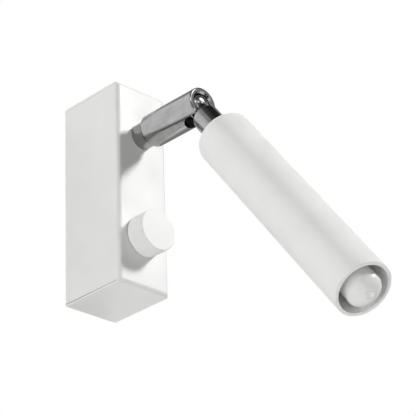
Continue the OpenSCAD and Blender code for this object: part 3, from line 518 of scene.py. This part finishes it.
def plated(name, colour, roughness, axis=None, ring=0.05 * MM, depth=0.0006 * MM, inside_of=None):
    """Plated and turned metal: fine turning rings round an axis, hairlines along it, soft stains.

    Where inside_of(finish) is 1 it is left dull and painted near black as shade. Without an axis it
    is drawn wire or sheet, with the same grain all over.
    """
    f = Finish(name, metallic=1.0)
    cloud = f.noise(5 * MM, detail=4.0)
    if axis is None:
        rings = f.noise(ring * 3, detail=2.0)
        hair = f.noise(0.4 * MM, detail=3.0)
    else:
        streaks = f.noise(0.5 * MM, detail=3.0, place=f.stretched(axis, 0.05))
        cloud = f.math("MULTIPLY", f.math("ADD", cloud, streaks), 0.5)
        rings = f.node(
            "ShaderNodeTexNoise", {"W": f.along(axis), "Scale": 1.0 / ring, "Detail": 2.0},
            noise_dimensions="1D",
        ).outputs["Fac"]
        hair = f.noise(0.25 * MM, detail=3.0, place=f.stretched(axis, 0.04))
    stains = f.spread(cloud, 0.0, 1.0, 0.35, 0.65)
    tone = f.mix(stains, toned(colour, 0.8), toned(colour, 1.04))
    dull = f.spread(hair, roughness - 0.02, roughness + 0.04)
    if inside_of:
        inside = inside_of(f)
        # Painted shade: the bore, cavity and slot are near black
        tone = f.mix(inside, tone, BORE_PAINTED_SHADE)
        dull = f.math("ADD", dull, f.math("MULTIPLY", inside, 0.35))
    f.feed("Base Color", tone)
    f.feed("Roughness", dull)
    f.bump(rings, depth)
    f.bump(hair, 0.0008 * MM)


def zinc(name, roughness):
    """Zinc plate: small crystals in slightly different greys, fine scratches."""
    f = Finish(name, metallic=1.0)
    colour = SLOT_COLOURS[name]
    cells = f.node("ShaderNodeTexVoronoi", {"Vector": f.place, "Scale": 1.0 / (1.6 * MM)})
    shade = f.node("ShaderNodeSeparateColor", {0: cells.outputs["Color"]}).outputs[0]
    cool = tuple(c * k for c, k in zip(colour, (0.9, 0.93, 0.97)))
    f.feed("Base Color", f.mix(shade, cool, colour))
    f.feed("Roughness", f.spread(shade, roughness - 0.06, roughness + 0.08, 0.0, 1.0))
    scratches = f.noise(0.3 * MM, detail=4.0, place=f.stretched((1.0, 0.0, 0.0), 0.1))
    f.bump(scratches, 0.002 * MM)


def moulded(name, roughness, grain=0.15 * MM, depth=0.004 * MM, mottle=0.06):
    """Moulded plastic, rubber or fired clay: fine grain, uneven gloss and slight mottling."""
    f = Finish(name)
    colour = SLOT_COLOURS[name]
    cloud = f.noise(4 * MM, detail=3.0)
    fine = f.noise(grain, detail=2.0)
    low = tuple(max(c * (1.0 - mottle) - 0.002, 0.0) for c in colour)
    high = tuple(min(c * (1.0 + mottle / 2) + 0.002, 1.0) for c in colour)
    f.feed("Base Color", f.mix(f.spread(cloud, 0.0, 1.0), low, high))
    f.feed("Roughness", f.spread(fine, roughness - 0.05, roughness + 0.05))
    f.bump(fine, depth)


def striped(name, first, second, roughness):
    """Two-coloured insulation with stripes along the lead."""
    f = Finish(name)
    around = f.node("ShaderNodeUVMap", uv_map="along").outputs[0]
    turn = f.node("ShaderNodeSeparateXYZ", {0: around}).outputs["X"]
    half = f.math("LESS_THAN", f.math("FRACT", f.math("MULTIPLY", turn, 2.0)), 0.5)
    f.feed("Base Color", f.mix(half, first, second))
    fine = f.noise(0.3 * MM)
    f.feed("Roughness", f.spread(fine, roughness - 0.05, roughness + 0.05))
    f.bump(fine, 0.004 * MM)


def circuit(name):
    """Lacquered board: green solder mask over a pattern of tracks, with tinned pads."""
    f = Finish(name, **{"Coat Weight": 0.5, "Coat Roughness": 0.12})
    colour = SLOT_COLOURS[name]
    flat = f.node("ShaderNodeMapping", {"Vector": f.place, "Rotation": (math.pi / 2, 0, 0)})
    tracks = f.node("ShaderNodeTexBrick", {
        "Vector": flat.outputs[0], "Scale": 1.0,
        "Mortar Size": 0.4 * MM, "Brick Width": 6 * MM, "Row Height": 2.6 * MM,
    }).outputs["Fac"]
    lit = tuple(min(c * 1.5 + 0.02, 1.0) for c in colour)
    pads = f.node("ShaderNodeTexVoronoi", {"Vector": f.place, "Scale": 1.0 / (3.2 * MM)})
    pad = f.spread(pads.outputs["Distance"], 1.0, 0.0, 0.16, 0.2)
    f.feed("Base Color", f.mix(pad, f.mix(tracks, lit, colour), PAD_TIN))
    f.feed("Metallic", pad)
    f.feed("Roughness", f.spread(f.noise(0.6 * MM), 0.28, 0.42))
    f.bump(tracks, 0.03 * MM)


def frosted(name):
    """Milky lamp cover: slightly clouded, glossy, with a ring in its end."""
    f = Finish(name, **{
        "Subsurface Weight": 0.3, "Subsurface Scale": 0.003, "Subsurface Radius": (1.0, 1.0, 1.0),
        "Coat Weight": 1.0, "Coat Roughness": 0.03, "IOR": 1.5,
    })
    # Painted light: the cover's own colour is raised by 7%, so that it looks lit
    lit = toned(SLOT_COLOURS[name], 1.07)
    cloud = f.noise(3 * MM, detail=3.0)
    f.feed("Base Color", f.mix(f.spread(cloud, 0.0, 1.0), toned(lit, 0.97), lit))
    f.feed("Roughness", f.spread(f.noise(0.2 * MM), 0.22, 0.32))
    f.bump(f.noise(2.5 * MM, detail=2.0), 0.01 * MM)
    ring = f.off(from_head_axis(f), RING_RADIUS)
    f.bump(f.spread(ring, 1.0, 0.0, 0.0, RING_HALF), RING_HEIGHT)


def light_board(name):
    """White board with yellow light sources that stand out of both faces."""
    f = Finish(name)
    off = f.math("ABSOLUTE", f.along(BOARD_NORMAL, PIVOT))
    source = f.math("GREATER_THAN", off, SOURCE_FACE)
    f.feed("Base Color", f.mix(source, BOARD_WHITE, SOURCE_YELLOW))
    f.feed("Roughness", f.spread(f.noise(0.2 * MM), 0.35, 0.5))
    f.bump(f.noise(0.15 * MM), 0.004 * MM)


def make_finishes(p):
    """Makes the finish of every slot, by the slot's name, and those of OWN_FINISHES."""
    paint, chrome = tuple(p.paint_colour), tuple(p.chrome_colour)
    powder_coat("white_paint", paint, p.paint_roughness)
    powder_coat("cover_paint", paint, p.paint_roughness, shade_and_highlight_of=cover_shade_and_highlight)
    powder_coat("tube_paint", tuple(p.tube_colour), p.paint_roughness, painted_light_of=tube_inside)
    plated("chrome_plate", chrome, p.chrome_roughness, ARM_AXIS)
    plated("barrel_chrome", chrome, p.chrome_roughness, ARM_AXIS, inside_of=barrel_inside)
    plated("head_chrome", chrome, p.chrome_roughness, HEAD_AXIS, 0.22 * MM, 0.0025 * MM)
    plated("ball_chrome", chrome, 0.15, HEAD_AXIS, depth=0.0002 * MM)
    plated("brass", SLOT_COLOURS["brass"], 0.24, (0.0, 0.0, 1.0))
    plated("spring_steel", SLOT_COLOURS["spring_steel"], 0.3)
    plated("choke_winding", SLOT_COLOURS["choke_winding"], 0.26)
    zinc("zinc_steel", 0.34)
    moulded("black_nylon", 0.5)
    moulded("ivory_nylon", 0.4, mottle=0.04)
    moulded("capacitor_case", 0.22, depth=0.002 * MM)
    moulded("black_case", 0.42)
    moulded("black_rubber", 0.6, grain=0.25 * MM)
    moulded("ceramic", 0.65, grain=0.4 * MM, depth=0.012 * MM)
    moulded("white_plastic", 0.3, mottle=0.03)
    for name in ("brown_lead", "grey_lead", "blue_lead", "white_silicone"):
        moulded(name, LEAD_ROUGHNESS, grain=0.3 * MM, mottle=0.1)
    striped("earth_lead", EARTH_GREEN, EARTH_YELLOW, LEAD_ROUGHNESS)
    circuit("circuit_board")
    frosted("frosted_cover")
    light_board("light_board")


def placed(name, data):
    """New object in the scene."""
    made = bpy.data.objects.new(name, data)
    bpy.context.scene.collection.objects.link(made)
    return made


def rounded_route(points, steps=8):
    """Route whose corners are bent in curves that take BEND_SHARE of the runs beside them."""
    points = [Vector(p) for p in points]
    route = [points[0]]
    for before, corner, after in zip(points, points[1:], points[2:]):
        start = corner.lerp(before, BEND_SHARE)
        end = corner.lerp(after, BEND_SHARE)
        for k in range(steps + 1):
            t = k / steps
            route.append(start * (1 - t) ** 2 + corner * 2 * t * (1 - t) + end * t * t)
    return route + [points[-1]]


def resampled(route, pitch):
    """Points at even distances along a route."""
    lengths = [0.0]
    for a, b in zip(route, route[1:]):
        lengths.append(lengths[-1] + (b - a).length)
    count = max(2, round(lengths[-1] / pitch))
    points, k = [], 0
    for i in range(count + 1):
        want = lengths[-1] * i / count
        while k < len(route) - 2 and lengths[k + 1] < want:
            k += 1
        run = lengths[k + 1] - lengths[k]
        points.append(route[k].lerp(route[k + 1], (want - lengths[k]) / run if run else 0.0))
    return points


class Form:
    """Mesh of one piece, built of tubes and boxes, in metres."""

    def __init__(self, name):
        self.name = name
        self.mesh = bmesh.new()
        self.uv = self.mesh.loops.layers.uv.new("along")

    def tube(self, points, radii, sides=16, finish=0):
        """Closed round tube along points, with one radius for all or one for each."""
        if not hasattr(radii, "__len__"):
            radii = [radii] * len(points)
        ways = [(points[1] - points[0]).normalized()]
        ways += [(b - a).normalized() for a, b in zip(points, points[2:])]
        ways.append((points[-1] - points[-2]).normalized())
        across = ways[0].orthogonal().normalized()
        rings, length, last = [], [], None
        for point, way, radius in zip(points, ways, radii):
            across = (across - way * across.dot(way)).normalized()
            side = way.cross(across)
            length.append(length[-1] + (point - last).length if length else 0.0)
            last = point
            rings.append([
                self.mesh.verts.new(point + (across * math.cos(a) + side * math.sin(a)) * radius)
                for a in (2 * math.pi * k / sides for k in range(sides))
            ])
        for i, (ring, after) in enumerate(zip(rings, rings[1:])):
            for k in range(sides):
                j = (k + 1) % sides
                face = self.mesh.faces.new((ring[k], ring[j], after[j], after[k]))
                face.smooth = True
                face.material_index = finish
                turns = (k, k + 1, k + 1, k)
                for loop, turn, row in zip(face.loops, turns, (i, i, i + 1, i + 1)):
                    loop[self.uv].uv = (turn / sides, length[row] * 100)
        for ring in (rings[0][::-1], rings[-1]):
            face = self.mesh.faces.new(ring)
            face.material_index = finish
        return self

    def block(self, low, high, bevel, segments=3):
        """Box between two corners with rounded edges."""
        made = bmesh.ops.create_cube(self.mesh, size=1.0)["verts"]
        for vert in made:
            vert.co = Vector([a + (b - a) * (c + 0.5) for a, b, c in zip(low, high, vert.co)])
        edges = list({e for v in made for e in v.link_edges})
        done = bmesh.ops.bevel(
            self.mesh, geom=edges, offset=bevel, segments=segments, profile=0.5,
            affect="EDGES", clamp_overlap=True,
        )
        for face in done["faces"]:
            face.smooth = True

    def piece(self, body, slots, *nodes):
        """Object of the form on a body, in the frame's plain materials, in place of nodes."""
        bmesh.ops.recalc_face_normals(self.mesh, faces=self.mesh.faces)
        mesh = bpy.data.meshes.new(self.name)
        self.mesh.to_mesh(mesh)
        self.mesh.free()
        for slot in slots:
            mesh.materials.append(bpy.data.materials[slot])
        made = placed(self.name, mesh)
        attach(made, body)
        if nodes:
            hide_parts(*nodes)


def lead(form, points, radius):
    """Insulated lead with a stripped end of stranded copper at both ends."""
    route = resampled(rounded_route(points), LEAD_PITCH)
    form.tube(route, radius * COPPER_SHARE, sides=12, finish=1)
    bare = max(1, round(LEAD_STRIP / LEAD_PITCH))
    cover = route[bare:-bare]
    radii = [radius] * len(cover)
    radii[0] = radii[-1] = radius * CUT_SHARE
    form.tube(cover, radii, sides=20)


def wound_choke(width, turns):
    """Choke: wire of a width wound in turns round most of its ring core."""
    low, high = (Vector(c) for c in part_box("dimmer_choke"))
    middle = (low + high) / 2
    outer, height = (high.x - low.x) / 2, high.y - low.y
    bore = outer * CHOKE_BORE
    wire = width / 2
    ring = (outer + bore) / 2
    half, deep = (outer - bore) / 2 - wire, height / 2 - wire

    def place(around, about, inset=0.0):
        """Point at one angle round the ring and another about its section."""
        c, d = math.cos(about), math.sin(about)
        off = ring + math.copysign(abs(c) ** CHOKE_ROUND, c) * (half - inset)
        up = math.copysign(abs(d) ** CHOKE_ROUND, d) * (deep - inset)
        return middle + Vector((off * math.cos(around), up, off * math.sin(around)))

    def core_point(i, k):
        around, about = 2 * math.pi * i / CORE_RINGS, 2 * math.pi * k / CORE_SIDES
        return place(around, about, wire * CORE_INSET)

    form = Form("dimmer_choke_wound")
    count = turns * CHOKE_POINTS
    points = [
        place(CHOKE_START + CHOKE_ARC * i / count, 2 * math.pi * i / CHOKE_POINTS)
        for i in range(count + 1)
    ]
    form.tube(points, wire, sides=10)
    core = [
        [form.mesh.verts.new(core_point(i, k)) for k in range(CORE_SIDES)]
        for i in range(CORE_RINGS)
    ]
    for a, b in zip(core, core[1:] + core[:1]):
        for k in range(CORE_SIDES):
            j = (k + 1) % CORE_SIDES
            face = form.mesh.faces.new((a[k], a[j], b[j], b[k]))
            face.smooth = True
            face.material_index = 1
    form.piece("wall_box", ("choke_winding", "black_case"), "dimmer_choke")


def boxed_capacitor():
    """Capacitor: rounded case on a lower, smaller foot."""
    low, high = (Vector(c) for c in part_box("dimmer_capacitor"))
    inset = Vector((FOOT_INSET, 0.0, FOOT_INSET))
    form = Form("dimmer_capacitor_case")
    form.block(low + Vector((0.0, CASE_STAND, 0.0)), high, CASE_BEVEL)
    top = Vector((high.x, low.y + FOOT_TOP, high.z))
    form.block(low + inset, top - inset, FOOT_BEVEL, segments=1)
    form.piece("wall_box", ("capacitor_case",), "dimmer_capacitor")


def white_seen(tree, shader, light):
    """Shader that shows plain white to the camera, in gloss and through glass, else the light."""
    nodes, links = tree.nodes, tree.links
    path = nodes.new("ShaderNodeLightPath")
    seen = path.outputs["Is Camera Ray"]
    for other in ("Is Glossy Ray", "Is Transmission Ray"):
        most = nodes.new("ShaderNodeMath")
        most.operation = "MAXIMUM"
        links.new(seen, most.inputs[0])
        links.new(path.outputs[other], most.inputs[1])
        seen = most.outputs[0]
    white = nodes.new(shader)
    white.inputs["Color"].default_value = (1.0, 1.0, 1.0, 1.0)
    white.inputs["Strength"].default_value = 1.0
    mixed = nodes.new("ShaderNodeMixShader")
    links.new(seen, mixed.inputs[0])
    links.new(light, mixed.inputs[1])
    links.new(white.outputs[0], mixed.inputs[2])
    return mixed.outputs[0]


def make_camera(p):
    """Camera at the turn, rise, roll and distance of the properties."""
    level = math.cos(p.rise)
    back = Vector((math.sin(p.turn) * level, -math.cos(p.turn) * level, math.sin(p.rise)))
    flat = Vector((math.cos(p.turn), math.sin(p.turn), 0.0))
    plumb = back.cross(flat)
    right = flat * math.cos(p.roll) + plumb * math.sin(p.roll)
    up = plumb * math.cos(p.roll) - flat * math.sin(p.roll)
    data = bpy.data.cameras.new("camera")
    data.lens = p.lens
    data.sensor_width = 36.0
    data.clip_start = 0.05
    data.clip_end = 20.0
    camera = placed("camera", data)
    place = Matrix.Translation(Vector(p.aim) + back * p.distance)
    camera.matrix_world = place @ Matrix((right, up, back)).transposed().to_4x4()
    bpy.context.scene.camera = camera


def make_background(ambient):
    """World that shows white and lights the object a little from all round."""
    world = bpy.data.worlds.new("studio")
    world.use_nodes = True
    bpy.context.scene.world = world
    tree = world.node_tree
    soft = tree.nodes["Background"]
    soft.inputs["Color"].default_value = (1.0, 1.0, 1.0, 1.0)
    soft.inputs["Strength"].default_value = ambient
    tree.links.new(
        white_seen(tree, "ShaderNodeBackground", soft.outputs[0]),
        tree.nodes["World Output"].inputs["Surface"],
    )


def area_lamp(name, direction, distance, size, level, gloss):
    """Round lamp whose light on a surface that faces it is level times a plain white."""
    data = bpy.data.lights.new(name, "AREA")
    data.shape = "DISK"
    data.size = size
    data.energy = level * (math.pi * distance) ** 2
    lamp = placed(name, data)
    place = LAMP_TARGET + Vector(direction).normalized() * distance
    turn = (LAMP_TARGET - place).to_track_quat("-Z", "Y")
    lamp.matrix_world = Matrix.LocRotScale(place, turn, None)
    lamp.visible_glossy = gloss
    return lamp


def make_lamps(strength):
    """All lamps; only the key lamp shows in gloss, and the chrome is left out of its light."""
    chrome = bpy.data.collections.new("chrome_pieces")
    for name in CHROME_NODES:
        chrome.objects.link(frame["nodes"][name])
    for piece in chrome.collection_objects:
        piece.light_linking.link_state = "EXCLUDE"
    for name, direction, distance, size, level in LAMPS:
        is_key = name == "key_lamp"
        lamp = area_lamp(name, direction, distance, size, level * strength, is_key)
        if is_key:
            lamp.light_linking.receiver_collection = chrome


def only_reflected(name, mesh, paint):
    """Stage object that shows in reflections alone, as the grey which paint(finish) returns."""
    f = Finish(name)
    light = f.node("ShaderNodeEmission", {"Color": paint(f), "Strength": 1.0})
    f.tree.links.new(light.outputs[0], f.tree.nodes["Material Output"].inputs["Surface"])
    f.tree.nodes.remove(f.shader)
    mesh.materials.append(f.material)
    made = placed(name, mesh)
    made.visible_camera = made.visible_diffuse = made.visible_shadow = False
    made.visible_transmission = made.visible_volume_scatter = False


def reflection_dome():
    """Ball of soft greys round the object, which its metal reflects."""
    mesh = bpy.data.meshes.new("reflection_dome")
    form = bmesh.new()
    bmesh.ops.create_icosphere(form, subdivisions=4, radius=DOME_RADIUS)
    form.to_mesh(mesh)
    form.free()

    def paint(f):
        way = f.vector("NORMALIZE", f.place)
        grey = DOME_GREY
        for direction, full, none, tone in DOME:
            near = f.vector("DOT_PRODUCT", way, tuple(Vector(direction).normalized()))
            start, end = (math.cos(math.radians(angle)) for angle in (none, full))
            grey = f.blend(f.step(near, start, end), grey, tone)
        return grey

    only_reflected("reflection_dome", mesh, paint)


def reflection_wall():
    """Wall behind the object, which the metal reflects: open behind the box, with its shadow."""
    mesh = bpy.data.meshes.new("reflection_wall")
    low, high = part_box("housing_cover")
    outer = [(x * WALL_REACH, z * WALL_REACH) for x, z in SQUARE]
    inner = [(low[0], low[2]), (high[0], low[2]), (high[0], high[2]), (low[0], high[2])]
    corners = [(x, WALL_BACK, z) for x, z in outer + inner]
    mesh.from_pydata(corners, [], [(k, (k + 1) % 4, 4 + (k + 1) % 4, 4 + k) for k in range(4)])

    def paint(f):
        across, _, rise = f.coordinates()
        beside = f.math("SUBTRACT", low[0], across)
        slope = f.math("ADD", rise, f.math("MULTIPLY", beside, SHADE_SLOPE))
        shade = f.product(
            f.step(beside, *SHADE_LEFT),
            f.step(slope, high[2] + SHADE_SOFT, high[2] - SHADE_SOFT),
            f.step(rise, *(low[2] - depth for depth in SHADE_BELOW)),
            f.step(across, high[0], high[0] - SHADE_INSET),
        )
        wall = f.blend(f.step(f.vector("LENGTH", f.place), *FAR_FADE), WALL_NEAR, WALL_FAR)
        right = f.math("ADD", across, f.math("MULTIPLY", rise, RIGHT_RISE))
        wall = f.blend(f.step(right, *RIGHT_FADE), wall, WALL_RIGHT)
        return f.blend(shade, wall, WALL_SHADE)

    only_reflected("reflection_wall", mesh, paint)


def make_floor():
    """Paper floor far below the object, which shows white and lights it faintly from below."""
    mesh = bpy.data.meshes.new("floor")
    corners = [(x * FLOOR_REACH, y * FLOOR_REACH, FLOOR_HEIGHT) for x, y in SQUARE]
    mesh.from_pydata(corners, [], [(0, 1, 2, 3)])
    floor = placed("floor", mesh)
    material = bpy.data.materials.new("floor_paper")
    material.use_nodes = True
    nodes = material.node_tree.nodes
    shader = nodes["Principled BSDF"]
    shader.inputs["Base Color"].default_value = FLOOR_COLOUR
    shader.inputs["Roughness"].default_value = 0.9
    material.node_tree.links.new(
        white_seen(material.node_tree, "ShaderNodeEmission", shader.outputs[0]),
        nodes["Material Output"].inputs["Surface"],
    )
    mesh.materials.append(material)


class WALLLIGHT_OT_stage(bpy.types.Operator):
    """Build the camera, the lamps, what the metal reflects, the background and the floor"""

    bl_idname = "wall_light.stage"
    bl_label = "Stage"

    def execute(self, context):
        p = context.scene.wall_light_stage
        context.scene.view_settings.view_transform = "Standard"
        make_camera(p)
        make_background(p.ambient)
        make_lamps(p.lamps)
        reflection_dome()
        reflection_wall()
        make_floor()
        return {"FINISHED"}


class WALLLIGHT_OT_finishes(bpy.types.Operator):
    """Give every solid of the frame its finish"""

    bl_idname = "wall_light.finishes"
    bl_label = "Finishes"

    def execute(self, context):
        make_finishes(context.scene.wall_light_finishes)
        for name, node in frame["nodes"].items():
            finish = OWN_FINISHES.get(name, NODE_SLOTS[name])
            node.data.materials.clear()
            node.data.materials.append(FINISHES[finish])
        return {"FINISHED"}


class WALLLIGHT_OT_leads(bpy.types.Operator):
    """Build the leads in the box"""

    bl_idname = "wall_light.leads"
    bl_label = "Leads in the box"

    def execute(self, context):
        p = context.scene.wall_light_parts
        for name, slot, points in LEADS:
            form = Form(f"{name}_round")
            lead(form, [Vector(q) * MM for q in points], p.lead_radius)
            form.piece("wall_box", (slot, "choke_winding"), name)
        return {"FINISHED"}


class WALLLIGHT_OT_head_leads(bpy.types.Operator):
    """Build the two leads in the head"""

    bl_idname = "wall_light.head_leads"
    bl_label = "Leads in the head"

    def execute(self, context):
        p = context.scene.wall_light_parts
        form = Form("head_leads_round")
        for side in (-1, 1):
            points = [
                PIVOT + Vector((side * off * MM, 0.0, 0.0)) + HEAD_AXIS * along * MM
                for off, along in HEAD_LEAD
            ]
            lead(form, points, p.lead_radius)
        form.piece("head", ("white_silicone", "choke_winding"), "head_leads")
        return {"FINISHED"}


class WALLLIGHT_OT_spring(bpy.types.Operator):
    """Build the spring behind the ball's cup, with closed ends"""

    bl_idname = "wall_light.spring"
    bl_label = "Cup spring"

    def execute(self, context):
        p = context.scene.wall_light_parts
        low, high = (Vector(c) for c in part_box("cup_spring"))
        wire, turns = p.spring_wire / 2, p.spring_turns
        radius, middle = (high.x - low.x) / 2 - wire, (low.x + high.x) / 2
        back, front = high.y - wire, low.y + wire
        shut = SPRING_CLOSED * p.spring_wire * SPRING_PITCH
        pitch = (back - front - 2 * shut) / turns
        if pitch < p.spring_wire:
            raise RuntimeError("The spring's turns would touch: take fewer or a thinner wire")
        whole = turns + 2 * SPRING_CLOSED
        count = round(whole * SPRING_POINTS)
        points = []
        for i in range(count + 1):
            t = whole * i / count
            if t < SPRING_CLOSED:
                rise = shut * t / SPRING_CLOSED
            elif t < SPRING_CLOSED + turns:
                rise = shut + pitch * (t - SPRING_CLOSED)
            else:
                rise = back - front - shut * (whole - t) / SPRING_CLOSED
            angle = 2 * math.pi * t
            x, z = middle + radius * math.cos(angle), PIVOT.z + radius * math.sin(angle)
            points.append(Vector((x, back - rise, z)))
        coil = Form("cup_spring_coil").tube(points, wire, sides=14)
        coil.piece("arm", ("spring_steel",), "cup_spring")
        return {"FINISHED"}


class WALLLIGHT_OT_board_parts(bpy.types.Operator):
    """Build the dimmer board's choke and capacitor"""

    bl_idname = "wall_light.board_parts"
    bl_label = "Choke and capacitor"

    def execute(self, context):
        p = context.scene.wall_light_parts
        wound_choke(p.choke_wire, p.choke_turns)
        boxed_capacitor()
        return {"FINISHED"}


class WALLLIGHT_PT_panel(bpy.types.Panel):
    """Sizes, colours and steps of the wall light"""

    bl_idname = "WALLLIGHT_PT_panel"
    bl_label = "Wall light"
    bl_space_type = "VIEW_3D"
    bl_region_type = "UI"
    bl_category = "Wall light"

    def draw(self, context):
        scene = context.scene
        for group in (scene.wall_light_finishes, scene.wall_light_parts, scene.wall_light_stage):
            box = self.layout.box()
            for name in group.__annotations__:
                box.prop(group, name)
        for step in STEPS:
            self.layout.operator(step.bl_idname)


STEPS = (
    WALLLIGHT_OT_finishes,
    WALLLIGHT_OT_leads,
    WALLLIGHT_OT_head_leads,
    WALLLIGHT_OT_spring,
    WALLLIGHT_OT_board_parts,
    WALLLIGHT_OT_stage,
)
CLASSES = (WallLightFinishes, WallLightParts, WallLightStage, *STEPS, WALLLIGHT_PT_panel)


def register():
    """Registers the classes and the property groups."""
    for made in CLASSES:
        bpy.utils.register_class(made)
    bpy.types.Scene.wall_light_finishes = PointerProperty(type=WallLightFinishes)
    bpy.types.Scene.wall_light_parts = PointerProperty(type=WallLightParts)
    bpy.types.Scene.wall_light_stage = PointerProperty(type=WallLightStage)


def unregister():
    """Removes what register() made."""
    del bpy.types.Scene.wall_light_stage
    del bpy.types.Scene.wall_light_parts
    del bpy.types.Scene.wall_light_finishes
    for made in reversed(CLASSES):
        bpy.utils.unregister_class(made)


def main():
    """Runs every step in order."""
    register()
    for step in STEPS:
        group, name = step.bl_idname.split(".")
        getattr(getattr(bpy.ops, group), name)()


if __name__ == "__main__":
    main()
